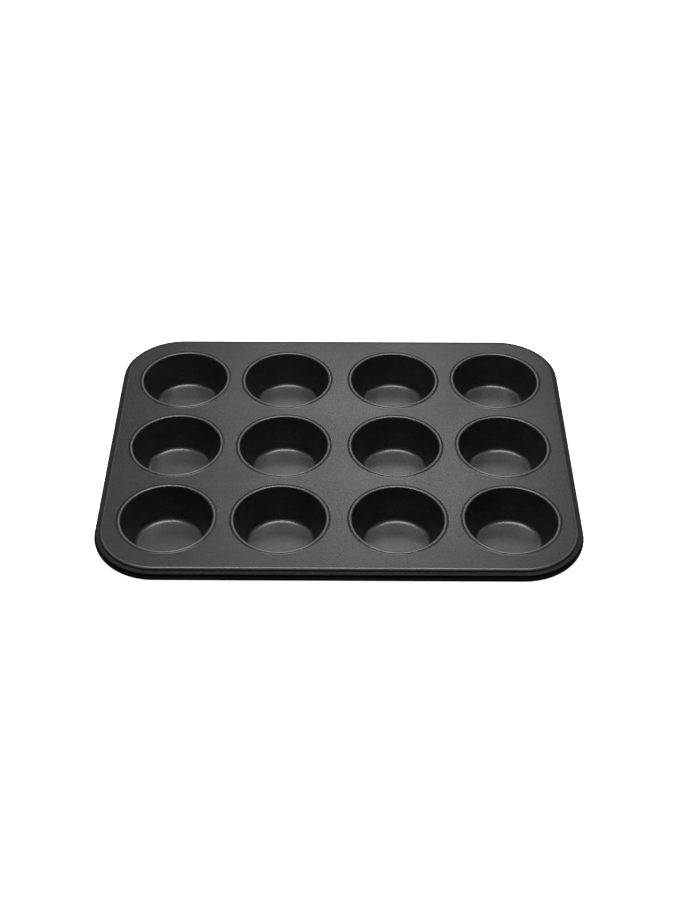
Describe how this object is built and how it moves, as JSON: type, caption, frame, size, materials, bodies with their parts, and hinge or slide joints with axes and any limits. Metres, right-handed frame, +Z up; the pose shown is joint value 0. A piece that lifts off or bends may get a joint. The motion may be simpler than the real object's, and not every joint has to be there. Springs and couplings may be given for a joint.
{
  "type": "muffin tin",
  "caption": "Flat rectangular baking tray with a grid of round tapered wells, a stepped skirt and a wired rolled rim, dark non-stick finish.",
  "frame": {"origin": "centre of the footprint, on the surface that the cups stand on", "axes": "+X along the four columns, +Y from the front row to the rear row, +Z up out of the cups"},
  "size_m": [0.352, 0.2716, 0.0266],
  "materials": {
    "nonstick_coat": "dark grey satin non-stick coat with a faint fine grain",
    "rim_steel": "plain drawn steel wire"
  },
  "bodies": {
    "root": {"deck": "nonstick_coat", "rim_wire": "rim_steel", "cup_front_1": "nonstick_coat", "cup_front_2": "nonstick_coat", "cup_front_3": "nonstick_coat", "cup_front_4": "nonstick_coat", "cup_middle_1": "nonstick_coat", "cup_middle_2": "nonstick_coat", "cup_middle_3": "nonstick_coat", "cup_middle_4": "nonstick_coat", "cup_rear_1": "nonstick_coat", "cup_rear_2": "nonstick_coat", "cup_rear_3": "nonstick_coat", "cup_rear_4": "nonstick_coat"}
  },
  "joints": []
}
